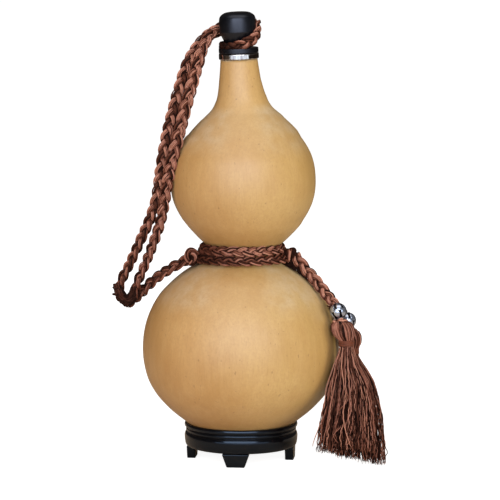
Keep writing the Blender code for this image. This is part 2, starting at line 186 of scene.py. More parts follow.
def wander(rng, along, length, waves):
    """A smooth random wave between about -1 and 1 that meets itself at the line's ends."""
    total = np.zeros_like(along)
    for share in (0.5, 1.0, 1.7):
        count = max(1, round(waves * share * rng.uniform(0.8, 1.2)))
        total += np.sin(TAU * (count * along / length + rng.random())) / 1.9
    return total


def tubes(lines, radii, guides, sides, closed=False, tones=0.5):
    """Round tubes along lines, an array of (tube, step, xyz). Returns points, faces and a tone a point."""
    count, steps, _ = lines.shape
    tangents = directions(lines, closed)
    up = square_to(np.broadcast_to(guides, lines.shape), tangents)
    side = np.cross(tangents, up)
    angle = TAU * np.arange(sides) / sides
    ring = (up[:, :, None] * np.cos(angle)[:, None] + side[:, :, None] * np.sin(angle)[:, None])
    points = lines[:, :, None] + ring * np.broadcast_to(radii, (count, steps))[:, :, None, None]
    index = np.arange(count * steps * sides).reshape(count, steps, sides)
    after = np.roll(index, -1, axis=2)
    if closed:
        low, low_after = np.roll(index, -1, axis=1), np.roll(after, -1, axis=1)
        quads = np.stack((index, low, low_after, after), axis=-1).reshape(-1, 4).tolist()
    else:
        quads = np.stack((index[:, :-1], index[:, 1:], after[:, 1:], after[:, :-1]), axis=-1)
        quads = quads.reshape(-1, 4).tolist() + index[:, 0].tolist() + index[:, -1, ::-1].tolist()
    tone = np.broadcast_to(np.reshape(tones, (-1, 1)), (count, steps * sides)).ravel()
    return points.reshape(-1, 3), quads, tone


def joined(shapes):
    """Several sets of points, faces and tones as one."""
    points, faces, tones = [], [], []
    start = 0
    for some_points, some_faces, some_tones in shapes:
        points.append(some_points)
        faces.extend([[i + start for i in face] for face in some_faces])
        tones.append(some_tones)
        start += len(some_points)
    return np.vstack(points), faces, np.concatenate(tones)


def piece(name, shape, mat, replaces=()):
    points, faces, tones = shape
    mesh = bpy.data.meshes.new(name)
    mesh.from_pydata((points * MM).tolist(), [], faces)
    mesh.shade_smooth()
    mesh.attributes.new("tone", "FLOAT", "POINT").data.foreach_set("value", tones.astype(np.float32))
    mesh.materials.append(mat)
    obj = bpy.data.objects.new(name, mesh)
    SCENE.collection.objects.link(obj)
    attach(obj, "root")
    if replaces:
        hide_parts(*replaces)
    return obj


# Materials

def material(name, **constants):
    mat = bpy.data.materials.new(name)
    mat.use_nodes = True
    shader = mat.node_tree.nodes["Principled BSDF"]
    for socket, value in constants.items():
        shader.inputs[socket.replace("_", " ")].default_value = value
    return mat, mat.node_tree, shader


def add(tree, kind, inputs, **settings):
    node = tree.nodes.new(kind)
    for key, value in settings.items():
        setattr(node, key, value)
    for socket, value in inputs.items():
        if isinstance(value, bpy.types.NodeSocket):
            tree.links.new(value, node.inputs[socket])
        else:
            node.inputs[socket].default_value = value
    return node


def place_of(tree, scale=(1.0, 1.0, 1.0)):
    coords = add(tree, "ShaderNodeTexCoord", {}).outputs["Object"]
    return add(tree, "ShaderNodeMapping", {"Vector": coords, "Scale": scale}).outputs["Vector"]


def noise(tree, scale, stretch=(1.0, 1.0, 1.0), detail=3.0, roughness=0.5):
    inputs = {"Vector": place_of(tree, stretch), "Scale": scale, "Detail": detail, "Roughness": roughness}
    return add(tree, "ShaderNodeTexNoise", inputs).outputs["Fac"]


def spread(tree, value, low, high, to_low=0.0, to_high=1.0):
    """A value moved from one range to another, and kept within it."""
    inputs = {"Value": value, "From Min": low, "From Max": high, "To Min": to_low, "To Max": to_high}
    return add(tree, "ShaderNodeMapRange", inputs, interpolation_type="SMOOTHSTEP").outputs["Result"]


def times(tree, a, b):
    return add(tree, "ShaderNodeMath", {0: a, 1: b}, operation="MULTIPLY").outputs[0]


def mixed(tree, share, a, b, blend="MIX"):
    node = tree.nodes.new("ShaderNodeMix")
    node.data_type = "RGBA"
    node.blend_type = blend
    for socket, value in ((0, share), (6, a), (7, b)):
        if isinstance(value, bpy.types.NodeSocket):
            tree.links.new(value, node.inputs[socket])
        else:
            node.inputs[socket].default_value = (*value, 1.0) if socket else value
    return node.outputs[2]


def bumped(tree, shader, height, strength, depth):
    """Bump of a depth in mm from a height between 0 and 1."""
    inputs = {"Height": height, "Strength": strength, "Distance": depth * MM}
    bump = add(tree, "ShaderNodeBump", inputs)
    tree.links.new(bump.outputs["Normal"], shader.inputs["Normal"])


def link_in(tree, shader, **values):
    for socket, value in values.items():
        tree.links.new(value, shader.inputs[socket.replace("_", " ")])


def skin_material():
    """Dried gourd skin: tan, mottled, with fine upright streaks and specks, and a pale painted sheen on the
    shoulders that face up, a painted reflection of the light above.
    """
    mat, tree, shader = material("gourd_skin", Coat_Weight=0.90, Coat_Roughness=0.48)
    broad = spread(tree, noise(tree, 20.0, detail=4.0), 0.32, 0.68)
    across = add(tree, "ShaderNodeSeparateXYZ", {"Vector": place_of(tree)}).outputs["X"]
    rightward = spread(tree, across, -0.05, 0.05)
    warm = mixed(tree, broad, (0.455, 0.240, 0.074), (0.520, 0.298, 0.108))
    yellow = mixed(tree, broad, (0.440, 0.260, 0.082), (0.500, 0.322, 0.118))
    colour = mixed(tree, rightward, warm, yellow)
    streaks = spread(tree, noise(tree, 260.0, (1.0, 1.0, 0.12), 4.0), 0.35, 0.70)
    colour = mixed(tree, times(tree, streaks, 0.20), colour, (0.620, 0.410, 0.190))
    hairs = spread(tree, noise(tree, 1100.0, (1.0, 1.0, 0.14), 3.0), 0.45, 0.72)
    colour = mixed(tree, times(tree, hairs, 0.22), colour, (0.330, 0.180, 0.055))
    patches = spread(tree, noise(tree, 60.0, (1.0, 1.0, 0.8), 6.0, 0.65), 0.48, 0.80)
    colour = mixed(tree, times(tree, patches, 0.26), colour, (0.390, 0.190, 0.060))
    # Painted sheen: where the skin faces up and to the sides it goes paler in streaky patches, a painted reflection
    # of the light above.
    normal = add(tree, "ShaderNodeNewGeometry", {}).outputs["Normal"]
    facing = add(tree, "ShaderNodeSeparateXYZ", {"Vector": normal}).outputs
    sideways = add(tree, "ShaderNodeMath", {0: facing["X"]}, operation="ABSOLUTE").outputs[0]
    painted_sheen = times(tree, spread(tree, facing["Z"], 0.38, 0.72), spread(tree, sideways, 0.12, 0.45, 0.10, 1.0))
    cloud = spread(tree, noise(tree, 150.0, (1.0, 1.0, 0.35), detail=6.0), 0.33, 0.66, 0.30, 1.0)
    colour = mixed(tree, times(tree, times(tree, painted_sheen, cloud), 0.46), colour, (0.590, 0.480, 0.335))
    grain = noise(tree, 620.0, detail=5.0, roughness=0.65)
    colour = mixed(tree, spread(tree, grain, 0.35, 0.75, 0.0, 0.38), colour, (0.390, 0.215, 0.072))
    specks = spread(tree, noise(tree, 520.0, (1.0, 1.0, 0.5), 2.0), 0.69, 0.76)
    colour = mixed(tree, times(tree, specks, 0.55), colour, (0.220, 0.110, 0.035))
    rough = spread(tree, broad, 0.0, 1.0, 0.50, 0.60)
    link_in(tree, shader, Base_Color=colour, Roughness=rough)
    bumped(tree, shader, mixed(tree, 0.5, hairs, grain), 0.30, 0.10)
    return mat


def satin_material():
    """Satin yarn: each thread has its own tone, and a few are coppery. The tone also carries the painted shade set
    on the cords, and the palest tones take a painted highlight colour.
    """
    mat, tree, shader = material("cord_satin", Specular_IOR_Level=0.20)
    shader.inputs["Specular Tint"].default_value = (1.0, 0.76, 0.66, 1.0)
    tone = add(tree, "ShaderNodeAttribute", {}, attribute_name="tone").outputs["Fac"]
    deep = add(tree, "ShaderNodeMath", {0: tone, 1: 1.5}, operation="POWER").outputs[0]
    colour = mixed(tree, deep, (0.008, 0.0009, 0.0003), (0.470, 0.152, 0.090))
    # Painted highlight: from the middle tones up, the colour goes paler and pinker, for the satin's sheen.
    colour = mixed(tree, spread(tree, tone, 0.40, 1.0, 0.0, 0.65), colour, (0.520, 0.275, 0.212))
    copper = spread(tree, tone, 0.90, 0.97)
    colour = mixed(tree, times(tree, copper, 0.3), colour, (0.560, 0.250, 0.140))
    worn = spread(tree, noise(tree, 420.0, detail=4.0), 0.35, 0.75)
    colour = mixed(tree, times(tree, worn, 0.35), colour, (0.55, 0.50, 0.48), "MULTIPLY")
    fibres = noise(tree, 4200.0, (1.0, 1.0, 0.35), 2.0)
    rough = add(tree, "ShaderNodeMath", {
        0: spread(tree, fibres, 0.25, 0.75, 0.26, 0.42), 1: spread(tree, tone, 0.0, 0.45, 0.40, 0.0),
    }, operation="ADD").outputs[0]
    link_in(tree, shader, Base_Color=colour, Roughness=rough)
    bumped(tree, shader, fibres, 0.35, 0.06)
    return mat


def steel_material():
    mat, tree, shader = material("mouth_steel", Metallic=1.0)
    # Upright streaks in the steel's colour: partly brushing marks, partly a painted reflection of the cords and
    # light round the ring.
    brushing_and_reflection_streaks = noise(tree, 1100.0, (1.0, 1.0, 0.06), 3.0)
    colour = mixed(tree, spread(tree, brushing_and_reflection_streaks, 0.32, 0.68), (0.40, 0.37, 0.40), (0.76, 0.77, 0.78))
    smears = spread(tree, noise(tree, 160.0, detail=4.0), 0.35, 0.75, 0.08, 0.16)
    link_in(tree, shader, Base_Color=colour, Roughness=smears)
    bumped(tree, shader, brushing_and_reflection_streaks, 0.12, 0.02)
    return mat


def stopper_material():
    """Satin black plastic with fine turning marks and faint rubbed places."""
    mat, tree, shader = material("stopper_black", Specular_IOR_Level=0.56)
    shader.inputs["Specular Tint"].default_value = (0.70, 0.77, 1.0, 1.0)
    rubbed = spread(tree, noise(tree, 130.0, detail=5.0), 0.40, 0.75)
    colour = mixed(tree, rubbed, (0.0022, 0.0024, 0.0036), (0.0050, 0.0053, 0.0074))
    rings = noise(tree, 1400.0, (0.05, 0.05, 1.0), 2.0)
    rough = spread(tree, rubbed, 0.0, 1.0, 0.31, 0.39)
    link_in(tree, shader, Base_Color=colour, Roughness=rough)
    bumped(tree, shader, rings, 0.12, 0.03)
    return mat


def lacquer_material():
    """Black lacquer over turned wood, with a faint grain and dust."""
    mat, tree, shader = material("stand_lacquer", Specular_IOR_Level=0.46)
    shader.inputs["Specular Tint"].default_value = (0.52, 0.70, 1.0, 1.0)
    grain = noise(tree, 420.0, (0.12, 0.12, 1.0), 4.0)
    colour = mixed(tree, grain, (0.0010, 0.0010, 0.0014), (0.0034, 0.0033, 0.0042))
    dust = spread(tree, noise(tree, 2100.0, detail=2.0), 0.70, 0.78)
    colour = mixed(tree, times(tree, dust, 0.06), colour, (0.050, 0.048, 0.047))
    rough = spread(tree, grain, 0.3, 0.7, 0.10, 0.20)
    link_in(tree, shader, Base_Color=colour, Roughness=rough)
    bumped(tree, shader, grain, 0.10, 0.04)
    return mat


def silver_material():
    """Old silver: bright where it is raised, and dark with tarnish in the grooves."""
    mat, tree, shader = material("bead_silver", Metallic=0.88)
    height = add(tree, "ShaderNodeAttribute", {}, attribute_name="tone").outputs["Fac"]
    rubbed = noise(tree, 900.0, detail=4.0)
    raised = spread(tree, height, 0.56, 0.97)
    colour = mixed(tree, raised, (0.004, 0.004, 0.007), (0.50, 0.57, 0.72))
    tarnish = spread(tree, rubbed, 0.50, 0.75)
    colour = mixed(tree, times(tree, tarnish, 0.30), colour, (0.26, 0.26, 0.28))
    rough = spread(tree, raised, 0.0, 1.0, 0.45, 0.20)
    link_in(tree, shader, Base_Color=colour, Roughness=rough)
    bumped(tree, shader, rubbed, 0.2, 0.04)
    return mat


# Cord and thread

CURVE_PARTS = 16
YARNS = 12
YARN_SIDES = 4
MIDDLE_SIDES = 6
CORD_STEP = 1.15
DIVE = 0.5


def strand_yarns(centre, guide, along, half_width, half_depth, rng, closed=False, turns=0.0, yarns=YARNS):
    """Lines of the yarns that lie side by side round a strand with an oval section."""
    tangent = directions(centre, closed)
    up = square_to(guide, tangent)
    side = np.cross(tangent, up)
    length = along[-1] + (along[1] if closed else 0.0)
    radius = math.pi * (half_width + half_depth) / (1.8 * yarns + TAU)
    lines = []
    for yarn in range(yarns):
        angle = TAU * (yarn + 0.5) / yarns + TAU * turns * along / length
        angle = angle + 0.16 * wander(rng, along, length, length / 15.0)
        reach = 1.0 + 0.07 * wander(rng, along, length, length / 7.0)
        across = (half_width - radius) * reach * np.cos(angle)
        out = (half_depth - radius) * reach * np.sin(angle)
        lines.append(centre + side * across[:, None] + up * out[:, None])
    widths = [radius * (1.0 + 0.10 * wander(rng, along, length, length / 5.0)) for _ in range(yarns)]
    return np.array(lines), np.array(widths)


def strand(centre, guide, along, half_width, half_depth, rng, closed=False, turns=0.0, yarns=YARNS):
    """A strand of yarns round a plain middle, which is thinner than they are and nearly black: painted shade for the
    strand's inside.
    """
    lines, radii = strand_yarns(centre, guide, along, half_width, half_depth, rng, closed, turns, yarns)
    if not closed:
        radii[:, [0, -1]] *= 0.5
    pairs = np.repeat(rng.permutation(np.linspace(0.12, 1.05, yarns // 2)), 2)
    tones = np.clip(pairs + rng.uniform(-0.14, 0.14, yarns), 0.0, 1.0)
    shapes = [tubes(lines, radii, guide, YARN_SIDES, closed, tones)]
    # The middle's low tone is painted shade.
    middle = 0.70 * np.minimum(half_width, half_depth) + np.zeros(len(centre))
    shapes.append(tubes(centre[None], middle[None], guide, MIDDLE_SIDES, closed, 0.1))
    return joined(shapes)


def per_step(values):
    """A value for each point of a strand from a value for each of its steps."""
    return np.concatenate((np.tile(np.repeat(values, YARN_SIDES, axis=0), (YARNS,) + (1,) * (values.ndim - 1)),
                           np.repeat(values, MIDDLE_SIDES, axis=0)))


def plait(line, normal, along, sizes, rng, closed=False, shade=1.0, drawn_in=1.0):
    """Three strands of yarn plaited flat, square to the normal, over a flat black middle of yarn: painted shade in
    the gaps between them.

    The sizes are the length of a full turn, how far the strands swing sideways and rise, and then half
    a strand's width and depth. A strand's tone is darkest where it goes under another: painted shade.
    """
    period, spread_by, lift, half_width, half_depth = sizes
    spread_by = spread_by * np.broadcast_to(drawn_in, along.shape)
    side = np.cross(directions(line, closed), normal)
    length = along[-1] + (along[1] if closed else 0.0)
    drift = 0.20 * wander(rng, along, length, length / 45.0)
    shade = np.broadcast_to(shade, along.shape)
    # The flat middle has tone 0: black, painted shade.
    middle = [line + side * offset for offset in np.linspace(-1.0, 1.0, 5) * (0.9 * sizes[1] - 0.5)]
    shapes = [tubes(np.array(middle), 0.62, normal, YARN_SIDES, closed, 0.0)]
    for number in range(3):
        turn = TAU * along / period + TAU * number / 3 + drift
        turn = turn + 0.10 * wander(rng, along, length, length / 20.0)
        centre = line + side * (spread_by * np.sin(turn))[:, None] + normal * (lift * np.sin(2 * turn))[:, None]
        points, faces, tones = strand(centre, normal, along, half_width, half_depth, rng, closed)
        # Painted shade: each yarn's tone is darkened where its strand dives under another.
        facing = np.sum((points - per_step(centre)) * per_step(normal), axis=1) / half_depth
        over, away = per_step(np.sin(2 * turn)), per_step(np.cos(2 * turn))
        open_to = facing * over * math.cos(DIVE) - np.abs(facing) * away * math.sin(DIVE)
        tones = tones * (0.12 + 0.88 * eased(open_to, -0.50, 0.10)) * per_step(shade)
        shapes.append((points, faces, tones))
    return joined(shapes)


def winding(line, normal, reach, turns, radius, tone, rng):
    """Yarn wound round a stretch of cord, close to it at the ends. The reach is for those and the middle."""
    steps = round(turns * 20)
    share = np.linspace(0.0, 1.0, steps)
    at = share * (len(line) - 1)
    centre, up = (np.column_stack([np.interp(at, np.arange(len(line)), axis) for axis in values.T])
                  for values in (line, normal))
    up = square_to(up, directions(centre))
    side = np.cross(directions(centre), up)
    angle = TAU * turns * share
    out = up * np.cos(angle)[:, None] + side * np.sin(angle)[:, None]
    far = reach[0] + (reach[1] - reach[0]) * np.sin(math.pi * share) ** 0.5
    tones = tone * rng.uniform(0.8, 1.2, 1)
    return tubes((centre + out * far[:, None])[None], radius, out[None], 6, False, tones)


def tuft(root, tip, count, spread_by, rng):
    """Short loose ends of yarn that run together to a tip."""
    share = np.linspace(0.0, 1.0, 7)[None, :, None]
    starts = np.array(root) + rng.normal(0.0, 2.0 * spread_by, (count, 1, 3)) * (1.0, 0.5, 1.0)
    ends = np.array(tip) + rng.normal(0.0, 0.6 * spread_by, (count, 1, 3))
    bends = rng.normal(0.0, 0.3, (count, 1, 3)) * np.sin(math.pi * share)
    lines = starts * (1.0 - share) + ends * share + bends
    # The ends have low tones: painted shade.
    return tubes(lines, 0.48 - 0.22 * share[..., 0], np.array((0.1, -1.0, 0.05)), 4, False,
                 rng.uniform(0.0, 0.25, count))


def route_line(route, step=CORD_STEP):
    return even_steps(smooth_curve(route, CURVE_PARTS), step)


def place_along(route, point):
    """How far along a route one of its points lies."""
    curve = smooth_curve(route, CURVE_PARTS)[:point * CURVE_PARTS + 1]
    return np.linalg.norm(np.diff(curve, axis=0), axis=1).sum()


def lengthened(line, along, start, end):
    """The line with straight bits added at its start and its end, for ends that go into a knot."""
    step = along[1]
    before = np.arange(round(start / step), 0, -1)[:, None] * step * unit(line[0] - line[1])
    after = np.arange(1, round(end / step) + 1)[:, None] * step * unit(line[-1] - line[-2])
    longer = np.vstack((line[0] + before, line, line[-1] + after))
    return longer, step * np.arange(len(longer))


def eased(value, low, high):
    share = np.clip((value - low) / (high - low), 0.0, 1.0)
    return share * share * (3.0 - 2.0 * share)


def mouth_axis(height):
    """A point on the axis of the mouth and the stopper at each height."""
    return np.stack((MOUTH_X - np.tan(MOUTH_TILT) * (height - MOUTH_Z), np.zeros_like(height), height), -1)


def loop_normals(line, along):
    """The plait's flat side faces the front. It turns over at the bottom, and lies on the stopper."""
    tangent = directions(line)
    normal = square_to(np.broadcast_to((0.0, -1.0, 0.0), line.shape), tangent)
    bottom = place_along(LOOP_ROUTE, LOOP_BOTTOM)
    over = eased(along, bottom - 9.0, bottom + 9.0)
    low = 1.0 - eased(line[:, 2], 125.0, 185.0)
    angle = (math.pi * over + 0.65 * low * (1.0 - 2.0 * over))[:, None]
    normal = normal * np.cos(angle) + np.cross(tangent, normal) * np.sin(angle)
    top = place_along(LOOP_ROUTE, LOOP_TOP)
    out = unit(line - mouth_axis(line[:, 2]))
    share = eased(along, top - 22.0, top + 6.0)[:, None]
    return square_to(normal * (1.0 - share) + out * share, tangent)


def strap_share(height):
    """Where the loop's two sides lie together as a strap, from 0 to 1."""
    return eased(height, 175.0, 195.0) * (1.0 - eased(height, 262.0, 276.0))


def loop_shown(line, along):
    """Where the loop's plait lies: pressed flat to the stopper round its neck, and lower behind it.

    The strap's sides are a little apart.
    """
    top = place_along(LOOP_ROUTE, LOOP_TOP)
    inward = unit(mouth_axis(line[:, 2]) - line)
    close = eased(along, top - 4.0, top + 14.0)[:, None]
    behind = eased(along, top - 10.0, top + 2.0) * (1.0 - eased(along, top + 22.0, top + 38.0))
    side = np.cross(directions(line), loop_normals(line, along))
    apart = strap_share(line[:, 2]) * (along < top)
    towards = apart * 0.35 * np.where(along > place_along(LOOP_ROUTE, LOOP_BOTTOM), -1.0, 1.0)
    left = eased(along, top + 58.0, top + 74.0)[:, None]
    right = eased(along, top + 22.0, top + 30.0) - eased(along, top + 46.0, top + 56.0)
    shown = line + side * towards[:, None] + inward * (close * 1.6 + left * 0.8 + right[:, None] * 0.8)
    low = 1.7 * behind + 0.6 * eased(along, top + 40.0, top + 50.0) + 1.5 * left[:, 0]
    return shown - np.array((0.0, 0.0, 1.0)) * low[:, None]


def loop_painted_shade(line, along):
    """Painted shade along the loop: the strap is paler above, and the loop is darkest at its bottom and against the
    stopper, most on its left.
    """
    height = line[:, 2]
    top = place_along(LOOP_ROUTE, LOOP_TOP)
    shade = 0.30 + 0.52 * eased(height, 104.0, 126.0) + 0.18 * eased(height, 130.0, 190.0)
    at_stopper = eased(along, top - 2.0, top + 6.0)
    return shade * (1.0 - at_stopper * (0.88 - 0.74 * eased(line[:, 0], -12.0, 5.0)))


def make_cords(satin):
    """The loop, the lead to its bottom, and the two turns round the waist."""
    line, along = route_line(LOOP_ROUTE)
    rng = np.random.default_rng(11)
    shown = loop_shown(line, along)
    normal = loop_normals(line, along)
    top = place_along(LOOP_ROUTE, LOOP_TOP)
    drawn_in = 1.0 - 0.4 * eased(along, top - 1.0, top + 7.0) + 0.60 * eased(along, top + 26.0, top + 38.0)
    drawn_in = drawn_in - 0.55 * eased(along, top + 60.0, top + 74.0)
    drawn_in = drawn_in + 0.18 * strap_share(line[:, 2]) * (along < top)
    sizes = (21.3, 2.15, 1.0, 1.75 - 0.35 * eased(along, top + 14.0, top + 26.0), 1.05)
    shape = plait(shown, normal, along, sizes, rng, shade=loop_painted_shade(line, along), drawn_in=drawn_in)
    loop = piece("loop_plait", shape, satin, ["loop_cord"])

    bottom = round(place_along(LOOP_ROUTE, LOOP_BOTTOM) / along[1])
    bent = slice(bottom - 8, bottom + 9)
    # The bundle's winding, strands and tufts have low tones: painted shade at the loop's bottom.
    bundle = joined([
        winding(line[bent], normal[bent], (1.5, 2.0), 9.5, 0.95, 0.05, rng),
        with_painted_shade(strand_along(BUNDLE_OUTER, 2.3, 1.7, rng), 0.30),
        with_painted_shade(strand_along(BUNDLE_INNER, 2.0, 1.8, rng), 0.16),
        tuft((-81.6, -6.5, 114.0), (-84.1, -6.3, 115.2), 8, 0.3, rng),
        tuft((-81.6, -6.8, 110.0), (-84.2, -6.6, 110.2), 8, 0.3, rng),
        tuft((-75.0, -6.8, 104.4), (-75.0, -6.6, 102.2), 12, 0.5, rng),
    ])
    piece("loop_bottom_bundle", bundle, satin)

    line, along = route_line(LEAD_ROUTE)
    longer, steps = lengthened(line, along, 3.0, 0.0)
    normal = square_to(np.broadcast_to((0.2, -0.8, 0.65), longer.shape), directions(longer))
    rng = np.random.default_rng(12)
    end = eased(steps, steps[-1] - 26.0, steps[-1] - 8.0)
    shown = longer - np.array((0.0, 0.0, 1.1)) * end[:, None]
    # The lead is drawn darker all along: painted shade.
    shape = plait(shown, normal, steps, (21.3, 2.2, 1.05, 1.85, 1.15), rng, shade=0.72, drawn_in=1.0 + 0.35 * end)
    lead = piece("lead_plait", shape, satin, ["lead_cord"])

    for name, turn, count, half_depth, seed in (
            ("lower_turn", LOWER_TURN, 9, 1.12, 13), ("upper_turn", UPPER_TURN, 8, 1.05, 14)):
        radius, middle_y, height, rise = turn
        raised = 0.5 if turn is UPPER_TURN else 0.0
        steps = round(TAU * radius / CORD_STEP)
        angle = TAU * np.arange(steps) / steps
        out = np.column_stack((np.cos(angle), np.sin(angle), np.zeros(steps)))
        line = out * (radius + raised) + np.array((WRAP_X, middle_y, height + raised))
        line[:, 2] -= out[:, 1] * rise
        rng = np.random.default_rng(seed)
        # Painted shade: each turn is darkest on the left, and a little darker on the right than in between.
        shade = 0.50 + 0.54 * eased(out[:, 0], -0.85, 0.1) - 0.25 * eased(out[:, 0], 0.4, 1.0)
        sizes = (TAU * radius / count, 2.0, 0.7, 1.55, half_depth)
        flat = square_to(out + np.array((0.0, 0.0, 0.45)), directions(line, True))
        shape = plait(line, flat, angle * radius, sizes, rng, True, shade)
        piece(name + "_plait", shape, satin, [name])


def coil(middle, axis, wide, tall, pitch, turns, half_width, half_depth, rng, start=0.0, shade=0.5):
    """A strand of yarn wound on itself, with both ends tucked in. Its tones are scaled by its shade, which is
    painted shade.
    """
    axis = unit(np.array(axis, float))
    upright = square_to(np.array((0.0, 0.0, 1.0)), axis)
    level = np.cross(upright, axis)
    turn = np.linspace(0.0, turns, round(turns * 26))
    tuck = 1.0 - 0.75 * np.clip(1.0 - np.minimum(turn, turns - turn) / 0.22, 0.0, 1.0) ** 2
    angle = TAU * turn + start
    out = level * np.cos(angle)[:, None] + upright * np.sin(angle)[:, None]
    line = np.array(middle) + (level * (wide * tuck * np.cos(angle))[:, None]
                               + upright * (tall * tuck * np.sin(angle))[:, None]
                               + axis * (pitch * (turn - turns / 2))[:, None])
    along = np.r_[0.0, np.cumsum(np.linalg.norm(np.diff(line, axis=0), axis=1))]
    return with_painted_shade(strand(line, out, along, half_width, half_depth, rng, turns=0.4), shade)


def with_painted_shade(shape, shade):
    # Scales a shape's tones by a painted shade.
    points, faces, tones = shape
    return points, faces, tones * shade


def strand_along(route, half_width, half_depth, rng):
    line, along = route_line(route, 0.6)
    normal = square_to(np.broadcast_to((0.0, -1.0, 0.0), line.shape), directions(line))
    return strand(line, normal, along, half_width, half_depth, rng, turns=0.5)


def make_knots(satin):
    rng = np.random.default_rng(21)
    # Each coil's last number is its painted shade: the knots' holes and inner turns are near black, and the strands
    # and turns on top are paler.
    left = joined([
        coil((-32.2, -9.6, 135.7), (0.1, 1.0, 0.1), 2.7, 4.1, 2.6, 2.4, 1.9, 1.6, rng, 3.0, 0.12),
        coil((-32.2, -9.6, 135.7), (0.3, 1.0, -0.1), 1.2, 2.0, 2.4, 2.4, 1.6, 1.5, rng, 1.0, 0.06),
        with_painted_shade(strand_along(LEFT_KNOT_OUTER, 1.5, 1.2, rng), 0.75),
        with_painted_shade(strand_along(LEFT_KNOT_INNER, 1.4, 1.1, rng), 0.85),
        coil((-30.0, -9.0, 135.6), (1.0, -0.25, 0.0), 2.4, 2.6, 2.6, 1.9, 1.5, 1.3, rng, 2.0, 0.12),
    ])
    piece("left_knot", left, satin)
    right = joined([
        coil((31.4, -9.0, 136.8), (1.0, 0.1, -0.15), 2.6, 3.7, 0.6, 1.3, 1.15, 1.1, rng, 1.2, 0.95),
        coil((29.8, -7.6, 136.4), (1.0, 0.1, -0.1), 2.5, 3.6, 1.6, 1.5, 1.3, 1.2, rng, 1.2, 0.2),
        coil((33.6, -7.2, 137.4), (0.8, 0.5, 0.3), 2.4, 3.0, 2.2, 2.3, 1.4, 1.3, rng, 0.0, 0.18),
        coil((31.4, -6.6, 133.6), (1.0, 0.2, -0.6), 2.0, 2.6, 3.4, 2.4, 1.5, 1.3, rng, 0.0, 0.08),
        # A black strand: painted shade under the tail.
        with_painted_shade(strand_along(RIGHT_KNOT_END, 2.0, 1.1, rng), 0.0),
    ])
    piece("right_knot", right, satin)
    behind = coil((1.8, 14.6, 278.4), (0.15, 0.2, 1.0), 2.5, 2.3, 3.3, 3.1, 1.7, 1.5, rng, 0.4)
    piece("loop_knot_winding", behind, satin, ["loop_knot"])


# Beads and tassels

def tilted(points, tilt):
    cx, sx, cy, sy = math.cos(tilt[0]), math.sin(tilt[0]), math.cos(tilt[1]), math.sin(tilt[1])
    about_x = np.array(((1, 0, 0), (0, cx, -sx), (0, sx, cx)))
    about_y = np.array(((cy, 0, sy), (0, 1, 0), (-sy, 0, cy)))
    return points @ (about_x @ about_y).T


def bead(middle, tilt, spin):
    """A round bead with two rows of raised petals between a rim at each hole."""
    around = 96
    down = 56
    azimuth = TAU * np.arange(around) / around
    polar = np.linspace(0.10, math.pi - 0.10, down)
    a, p = np.meshgrid(azimuth, polar)
    height = np.zeros_like(a)
    for row, (low, high) in enumerate(((0.52, 1.72), (1.42, 2.62))):
        share = (p - (low + high) / 2) / ((high - low) / 2)
        within = np.clip(1.0 - share ** 2, 0.0, 1.0) ** 0.5
        step = TAU / 6
        offset = (a + spin + row * step / 2 + step / 2) % step - step / 2
        reach = 0.43 * step * within
        petal = 1.0 - (offset / np.maximum(reach, 0.001)) ** 2
        petal = np.clip(petal, 0.0, 1.0) * (within > 0.02)
        height = np.maximum(height, np.clip(petal * 2.2, 0.0, 1.0) ** 0.6 * (0.8 + 0.2 * within))
    for rim in (0.34, math.pi - 0.34):
        height = np.maximum(height, np.clip(1.0 - ((p - rim) / 0.13) ** 2, 0.0, 1.0) ** 0.5)
    hole = np.clip((0.22 - np.minimum(p, math.pi - p)) / 0.12, 0.0, 1.0)
    radius = BEAD_RADIUS - 0.55 + 0.55 * height - 1.2 * hole
    points = np.stack((radius * np.sin(p) * np.cos(a), radius * np.sin(p) * np.sin(a), radius * np.cos(p)), -1)
    index = np.arange(around * down).reshape(down, around)
    after = np.roll(index, -1, axis=1)
    quads = np.stack((index[:-1], index[1:], after[1:], after[:-1]), axis=-1).reshape(-1, 4).tolist()
    faces = quads + [index[0].tolist(), index[-1, ::-1].tolist()]
    return tilted(points.reshape(-1, 3), tilt) + np.array(middle), faces, (height * (1.0 - hole)).ravel()


def at_height(sections, height):
    """A tassel's section at each height: x, y, half width and half depth."""
    rising = sections[::-1]
    return [np.interp(height, rising[:, 2], rising[:, column]) for column in (0, 1, 3, 4)]


def head_threads(sections, count, top, bottom, inset, radius, rng):
    """Threads from the bead down over a tassel's round head to its binding."""
    angle = TAU * (np.arange(count) + rng.uniform(-0.3, 0.3, count)) / count
    height = np.linspace(top, bottom, 15)
    x, y, wide, deep = at_height(sections, height)
    swing = rng.uniform(-0.16, 0.16, (count, 1)) * np.sin(np.linspace(0.0, math.pi, 15))
    turn = angle[:, None] + swing
    inner = inset * rng.uniform(0.93, 1.02, (count, 1))
    lines = np.stack((x + (wide - radius) * inner * np.cos(turn), y + (deep - radius) * inner * np.sin(turn),
                      np.broadcast_to(height, turn.shape)), -1)
    radii = radius * rng.uniform(0.85, 1.15, (count, 1)) * np.ones(15)
    return tubes(lines, radii, np.array((0.0, -1.0, 0.02)), 5, False, rng.uniform(-0.15, 0.85, count).clip(0.05))


def binding(sections, top, bottom, turns, radius, rng, slope=0.0, tone=0.4):
    """Thread wound round a tassel's neck."""
    turn = np.linspace(0.0, turns, round(turns * 22))
    height = top + (bottom - top) * turn / turns
    height = height + slope * np.cos(TAU * turn + 0.9) + 0.12 * wander(rng, turn, turns, turns * 1.5)
    x, y, wide, deep = at_height(sections, height)
    angle = TAU * turn
    line = np.column_stack((x + wide * np.cos(angle), y + deep * np.sin(angle), height))
    return tubes(line[None], radius, np.array((0.0, 0.0, 1.0)), 6, False, tone)


